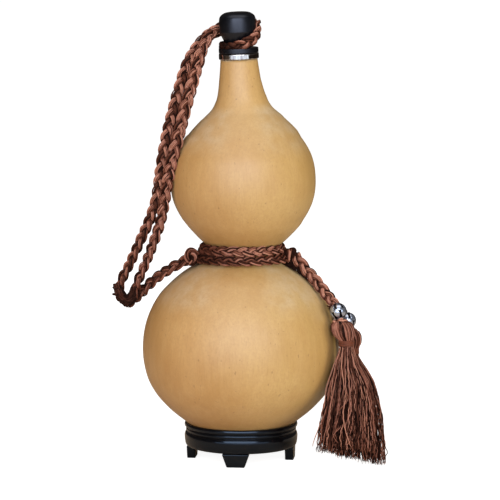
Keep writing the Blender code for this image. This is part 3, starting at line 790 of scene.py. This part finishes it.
def skirt_threads(sections, count, top, bottom, rng, wave, ragged, radius, slope=0.0, inner=0.35, tone=0.68):
    """Loose crimped threads that fan out below the binding, each with its own wave and length."""
    steps = 44
    angle = rng.uniform(0.0, TAU, count)
    depth = np.sqrt(rng.uniform(inner ** 2, 1.0, count))
    ends = bottom - slope * np.cos(angle) * depth + rng.gamma(1.4, ragged, count)
    share = np.linspace(0.0, 1.0, steps)[None]
    height = top + (np.maximum(ends, 0.5)[:, None] - top) * share
    x, y, wide, deep = at_height(sections, height)
    turn = angle[:, None] + rng.normal(0.0, 0.28, (count, 1)) * share
    far = depth[:, None] * (1.0 + 0.04 * rng.normal(0.0, 1.0, (count, 1)) * share)
    loose = (1.3 * share ** 0.8)[..., None]
    phase = rng.random((count, 1, 4)) * TAU
    size = rng.gamma(2.0, 0.5, (count, 1, 4)) * np.array((wave, wave, 0.20, 0.20))
    rate = rng.uniform((1.0, 1.0, 7.0, 7.0), (4.0, 4.0, 13.0, 13.0), (count, 1, 4))
    swing = (np.sin(TAU * rate * share[..., None] + phase) - np.sin(phase)) * size * loose
    lines = np.stack((x + 0.93 * wide * far * np.cos(turn) + swing[..., 0] + swing[..., 2],
                      y + deep * far * np.sin(turn) + 0.6 * swing[..., 1] + swing[..., 3], height), -1)
    radii = rng.uniform(*radius, (count, 1)) * (1.0 - 0.45 * np.clip(share * 10.0 - 9.0, 0.0, 1.0))
    # Tones differ at random, and threads deeper inside are darker: painted shade.
    tones = tone * np.clip(rng.uniform(-0.55, 1.0, count) + 0.9 * (depth - 0.75), 0.0, 1.0)
    return tubes(lines, radii, np.array((0.0, -1.0, 0.02)), 4, False, tones)


def core(sections, share, low=0.0):
    """A plain black filling behind a tassel's threads, painted shade for its inner threads, so that no light shows
    through its middle.
    """
    sides = 24
    angle = TAU * np.arange(sides) / sides
    kept = sections[sections[:, 2] > low]
    rings = [np.column_stack((x + wide * share * np.cos(angle), y + deep * share * np.sin(angle),
                              np.full(sides, z))) for x, y, z, wide, deep in kept]
    index = np.arange(sides * len(kept)).reshape(len(kept), sides)
    after = np.roll(index, -1, axis=1)
    quads = np.stack((index[:-1], index[1:], after[1:], after[:-1]), axis=-1).reshape(-1, 4).tolist()
    return np.vstack(rings), quads + [index[0].tolist(), index[-1, ::-1].tolist()], np.zeros(index.size)


def make_tassels(satin, silver):
    bead_1 = piece("bead_1_carved", bead(BEAD_1, BEAD_1_TILT, 0.35), silver, ["bead_1"])
    bead_2 = piece("bead_2_carved", bead(BEAD_2, BEAD_2_TILT, 0.75), silver, ["bead_2"])
    rng = np.random.default_rng(31)
    head_1 = joined([
        core(TASSEL_1, 0.80, 77.0),
        head_threads(TASSEL_1, 104, 96.0, 80.0, 1.0, 0.29, rng),
        head_threads(TASSEL_1, 60, 95.6, 80.0, 0.95, 0.36, rng),
        binding(TASSEL_1, 83.2, 79.6, 5.4, 0.42, rng, 0.9, 0.45),
        binding(TASSEL_1, 97.6, 95.2, 2.6, 0.85, rng, tone=0.95),
    ])
    head_1 = piece("tassel_1_head", head_1, satin, ["tassel_1"])
    skirt_1 = joined([
        core(TASSEL_1, 0.42, 30.0),
        skirt_threads(TASSEL_1, 380, 80.2, 11.0, rng, 0.50, 1.6, (0.20, 0.32)),
        skirt_threads(TASSEL_1, 80, 79.5, 14.0, rng, 0.8, 2.0, (0.20, 0.30), inner=0.92, tone=0.95),
    ])
    skirt_1 = piece("tassel_1_skirt", skirt_1, satin)
    head_2 = joined([
        core(TASSEL_2, 0.80, 70.0),
        head_threads(TASSEL_2, 98, 88.5, 72.5, 1.0, 0.29, rng),
        head_threads(TASSEL_2, 56, 88.0, 72.5, 0.95, 0.36, rng),
        binding(TASSEL_2, 75.5, 71.9, 5.2, 0.42, rng, 0.9, 0.45),
        binding(TASSEL_2, 88.5, 87.2, 1.8, 0.7, rng),
    ])
    head_2 = piece("tassel_2_head", head_2, satin, ["tassel_2"])
    skirt_2 = joined([
        core(TASSEL_2, 0.42, 24.0),
        skirt_threads(TASSEL_2, 340, 72.5, 3.4, rng, 0.50, 1.2, (0.20, 0.32), 3.6),
        skirt_threads(TASSEL_2, 70, 72.0, 4.0, rng, 0.8, 1.6, (0.20, 0.30), 3.6, 0.92, 0.95),
    ])
    skirt_2 = piece("tassel_2_skirt", skirt_2, satin)

    rng = np.random.default_rng(32)
    # The branch strand is drawn darker: painted shade behind bead 1.
    shape = with_painted_shade(strand_along(BRANCH_SHOWN, 1.1, 1.0, rng), 0.35)
    branch = piece("branch_strand", shape, satin, ["branch_cord"])

    line, along = route_line(TAIL_ROUTE)
    longer, steps = lengthened(line, along, 3.0, 2.2)
    normal = square_to(np.broadcast_to((0.25, -1.0, 0.25), longer.shape), directions(longer))
    drawn_in = 1.0 - 0.40 * eased(steps, steps[-1] - 6.0, steps[-1])
    shape = plait(longer, normal, steps, (21.3, 2.55, 0.80, 1.60, 1.05), rng, drawn_in=drawn_in)
    tail = piece("tail_plait", shape, satin, ["tail_cord"])
    ends = tuft((58.4, -15.4, 104.3), (59.2, -16.0, 100.4), 14, 0.34, rng)
    ends = piece("tail_end_threads", ends, satin)


# Turned pieces

def turned(outline, sides, closed=False):
    """A turned shape from an outline of radius and height. A radius of nought closes it on the axis."""
    outline = np.array(outline, float)
    angle = TAU * np.arange(sides) / sides
    rings = np.stack((outline[:, :1] * np.cos(angle), outline[:, :1] * np.sin(angle),
                      np.repeat(outline[:, 1:2], sides, axis=1)), -1)
    index = np.arange(len(outline) * sides).reshape(len(outline), sides)
    after = np.roll(index, -1, axis=1)
    faces = np.stack((index[:-1], index[1:], after[1:], after[:-1]), axis=-1).reshape(-1, 4).tolist()
    if closed:
        faces += np.stack((index[-1], index[0], after[0], after[-1]), axis=-1).tolist()
    return rings.reshape(-1, 3), faces, np.full(index.size, 0.5)


def rounded(corners):
    """An outline from corners of radius, height and fillet. Points beside a fillet keep the flats flat."""
    found = []
    for place, (r, z, fillet) in enumerate(corners):
        here = np.array((r, z))
        if fillet == 0.0:
            found.append(here)
            continue
        back = np.array(corners[place - 1][:2]) - here
        on = np.array(corners[(place + 1) % len(corners)][:2]) - here
        room_back, room_on = 0.45 * np.linalg.norm(back), 0.45 * np.linalg.norm(on)
        start = here + unit(back) * min(fillet, 0.85 * room_back)
        end = here + unit(on) * min(fillet, 0.85 * room_on)
        found.append(here + unit(back) * min(fillet + 0.15, room_back))
        for t in np.linspace(0.0, 1.0, 6):
            found.append((1 - t) ** 2 * start + 2 * t * (1 - t) * here + t ** 2 * end)
        found.append(here + unit(on) * min(fillet + 0.15, room_on))
    return found


def lean_at(height):
    low = np.array(GOURD_LEAN)
    shift = np.interp(height, low[:, 0], low[:, 1])
    slope = (np.interp(height + 0.5, low[:, 0], low[:, 1]) - np.interp(height - 0.5, low[:, 0], low[:, 1]))
    return shift, slope


def make_gourd(mat):
    """Up the inner side, over the rim and down the skin, leant and a little uneven."""
    skin = smooth_curve(GOURD_OUTLINE)
    normal = directions(skin)[:, ::-1] * np.array((-1.0, 1.0))
    inner = (skin + normal * GOURD_WALL)[8:]
    inner[:, 0] = np.maximum(inner[:, 0], 0.5)
    inner = np.vstack(([0.0, skin[0, 1] + GOURD_WALL], even_steps(inner, 8.0)[0]))
    outer = even_steps(skin, 2.0)[0][::-1]
    sides = 128
    points, faces, tones = turned(np.vstack((inner, outer)), sides)
    angle = np.arctan2(points[:, 1], points[:, 0])
    z = points[:, 2]
    uneven = 0.13 * np.sin(2 * angle + 0.4 + z / 60.0) + 0.10 * np.sin(3 * angle + 1.9 - z / 45.0)
    uneven += 0.06 * np.sin(5 * angle + z / 17.0) + 0.05 * np.sin(9 * angle - z / 11.0)
    ease = np.clip(np.hypot(points[:, 0], points[:, 1]) / 30.0, 0.0, 1.0) ** 2
    factor = 1.0 + uneven * ease / 50.0
    points[:, :2] *= factor[:, None]
    shift, slope = lean_at(points[:, 2])
    points[:, 2] -= points[:, 0] * slope
    points[:, 0] += shift
    piece("gourd_skin_form", (points, faces, tones), mat, ["gourd"])


def on_mouth(shape, height):
    """Moves a turned shape onto the mouth's leaning axis."""
    points, faces, tones = shape
    c, s = math.cos(MOUTH_TILT), math.sin(MOUTH_TILT)
    x, y, z = points.T
    z = z + height
    placed = np.column_stack((MOUTH_X + c * x - s * z, y, MOUTH_Z + s * x + c * z))
    return placed, faces, tones


def make_mouth(steel, black):
    ring = rounded([
        (8.0, 3.6, 0.2), (13.1, 3.6, 0.5), (13.1, 0.0, 0.5), (8.8, 0.0, 0.2), (8.8, -10.0, 0.2), (8.0, -10.0, 0.2),
    ])
    piece("mouth_ring_turned", on_mouth(turned(ring, 96, True), 0.0), steel, ["mouth_ring"])
    dome = smooth_curve([(0.0, 26.9), (6.5, 26.6), (9.6, 25.5), (11.5, 23.6), (12.1, 21.2)], 6).tolist()
    lower = rounded([
        (12.1, 21.2, 0.0), (12.1, 13.9, 0.25), (9.2, 7.5, 1.0), (8.0, 5.4, 1.0), (8.0, 3.3, 0.6), (13.0, 3.3, 0.5),
        (13.0, 0.0, 0.5), (7.6, 0.0, 0.3), (7.6, -20.0, 0.9), (0.0, -20.0, 0.0),
    ])
    outline = dome[:-1] + [tuple(p) for p in lower]
    piece("stopper_turned", on_mouth(turned(outline, 96), STOPPER_BASE), black, ["stopper"])


def make_stand(lacquer):
    ring = rounded([
        (36.2, 25.0, 0.3), (37.1, 24.5, 0.5), (37.45, 23.3, 0.7), (37.2, 22.2, 0.6), (36.5, 21.5, 0.3),
        (36.0, 21.15, 0.2), (36.4, 20.7, 0.3), (36.5, 20.0, 0.4), (36.4, 19.3, 0.3), (36.0, 18.8, 0.2),
        (36.7, 18.3, 0.4), (37.25, 17.2, 0.7), (37.45, 15.6, 1.0), (37.2, 12.6, 1.5), (36.8, 10.4, 0.8),
        (36.1, 9.3, 0.5), (35.4, 9.0, 0.3), (29.7, 9.0, 0.3), (29.2, 9.6, 0.3), (29.2, 20.2, 0.4), (33.0, 22.8, 0.3),
    ])
    piece("stand_ring_turned", turned(ring, 160, True), lacquer, ["stand_ring"])


def make_foot(lacquer, number):
    """A tapered block foot with eased edges."""
    mesh = bpy.data.meshes.new(f"stand_foot_{number}_block")
    corners = []
    for z, width in ((0.0, 11.7), (8.7, 18.0)):
        for x, y in ((-0.5, -2.8), (0.5, -2.8), (0.5, 2.8), (-0.5, 2.8)):
            corners.append((x * width, y - 32.6, z))
    turn = math.radians(-6.0) + TAU * (number - 1) / 4
    c, s = math.cos(turn), math.sin(turn)
    corners = [((c * x - s * y) * MM, (s * x + c * y) * MM, z * MM) for x, y, z in corners]
    faces = [(0, 3, 2, 1), (4, 5, 6, 7), (0, 1, 5, 4), (1, 2, 6, 5), (2, 3, 7, 6), (3, 0, 4, 7)]
    mesh.from_pydata(corners, [], faces)
    mesh.materials.append(lacquer)
    mesh.shade_smooth()
    foot = bpy.data.objects.new(mesh.name, mesh)
    SCENE.collection.objects.link(foot)
    edge = foot.modifiers.new("Edges", "BEVEL")
    edge.width = 0.6 * MM
    edge.segments = 3
    edge.harden_normals = True
    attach(foot, "root")
    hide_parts(f"stand_foot_{number}")


# Camera, floor and light

def make_camera():
    data = bpy.data.cameras.new("camera")
    data.lens = 243.0
    data.sensor_width = 36.0
    camera = bpy.data.objects.new("camera", data)
    camera.location = (0.0059, -2.2, 0.4409)
    aim = Vector((0.0059, 0.0, 0.1389)) - camera.location
    camera.rotation_euler = aim.to_track_quat("-Z", "Y").to_euler()
    SCENE.collection.objects.link(camera)
    SCENE.camera = camera


def area_light(name, place, aim, size, power, colour=(1.0, 1.0, 1.0), mirrored=True):
    data = bpy.data.lights.new(name, "AREA")
    data.shape = "RECTANGLE"
    data.size, data.size_y = size
    data.energy = power
    data.color = colour
    light = bpy.data.objects.new(name, data)
    light.location = place
    light.rotation_euler = (Vector(aim) - Vector(place)).to_track_quat("-Z", "Y").to_euler()
    light.visible_camera = False
    light.visible_glossy = mirrored
    SCENE.collection.objects.link(light)


def make_floor():
    reach = 14.0
    mesh = bpy.data.meshes.new("floor")
    ring = [(reach * math.cos(TAU * k / 64), reach * math.sin(TAU * k / 64), 0.0) for k in range(64)]
    mesh.from_pydata(ring, [], [tuple(range(64))])
    floor = bpy.data.objects.new("floor", mesh)
    SCENE.collection.objects.link(floor)
    mat = bpy.data.materials.new("floor_white")
    mat.use_nodes = True
    tree = mat.node_tree
    tree.nodes.remove(tree.nodes["Principled BSDF"])
    out = tree.nodes["Material Output"]
    coords = add(tree, "ShaderNodeTexCoord", {}).outputs["Object"]
    away = add(tree, "ShaderNodeVectorMath", {0: coords}, operation="LENGTH").outputs["Value"]
    seen = add(tree, "ShaderNodeBsdfDiffuse", {"Color": (0.62, 0.62, 0.62, 1.0)})
    glow = add(tree, "ShaderNodeEmission", {"Strength": spread(tree, away, 0.10, 0.45, 0.90, 1.0)})
    both = add(tree, "ShaderNodeAddShader", {0: seen.outputs[0], 1: glow.outputs[0]})
    bounce = mixed(tree, spread(tree, away, 0.4, 1.3), (0.70, 0.56, 0.42), (0.20, 0.15, 0.11))
    plain = add(tree, "ShaderNodeBsdfDiffuse", {"Color": bounce})
    ray = add(tree, "ShaderNodeLightPath", {}).outputs["Is Camera Ray"]
    either = add(tree, "ShaderNodeMixShader", {0: ray, 1: plain.outputs[0], 2: both.outputs[0]})
    tree.links.new(either.outputs[0], out.inputs["Surface"])
    mesh.materials.append(mat)


def make_world():
    """White where the camera sees it, and dim and warm as a light."""
    world = bpy.data.worlds.new("studio")
    world.use_nodes = True
    tree = world.node_tree
    back = tree.nodes["Background"]
    ray = add(tree, "ShaderNodeLightPath", {}).outputs["Is Camera Ray"]
    colour = mixed(tree, ray, (0.058, 0.048, 0.041), (1.0, 1.0, 1.0))
    tree.links.new(colour, back.inputs["Color"])
    SCENE.world = world


def make_lights():
    aim = (0.0, 0.0, 0.14)
    area_light("key_box", (-0.05, -1.75, 0.90), aim, (2.4, 1.2), 38.0, (0.96, 1.0, 1.05))
    area_light("low_box", (0.15, -1.60, 0.22), (0.15, 0.0, 0.22), (4.6, 0.44), 9.0, (0.86, 0.93, 1.0))
    area_light("top_box", (0.0, -0.25, 1.35), aim, (1.4, 0.9), 6.6, (1.0, 0.94, 0.87))
    area_light("right_box", (1.8, -0.50, 0.12), aim, (0.9, 0.6), 24.0, (1.0, 1.0, 0.86), False)
    area_light("left_box", (-1.7, -0.75, 0.30), aim, (0.9, 0.6), 5.0, (1.0, 0.68, 0.36), False)


def main():
    SCENE.view_settings.view_transform = "Standard"
    make_camera()
    satin = satin_material()
    make_cords(satin)
    make_knots(satin)
    make_tassels(satin, silver_material())
    make_gourd(skin_material())
    make_mouth(steel_material(), stopper_material())
    lacquer = lacquer_material()
    make_stand(lacquer)
    for number in range(1, 5):
        make_foot(lacquer, number)
    make_floor()
    make_world()
    make_lights()


main()
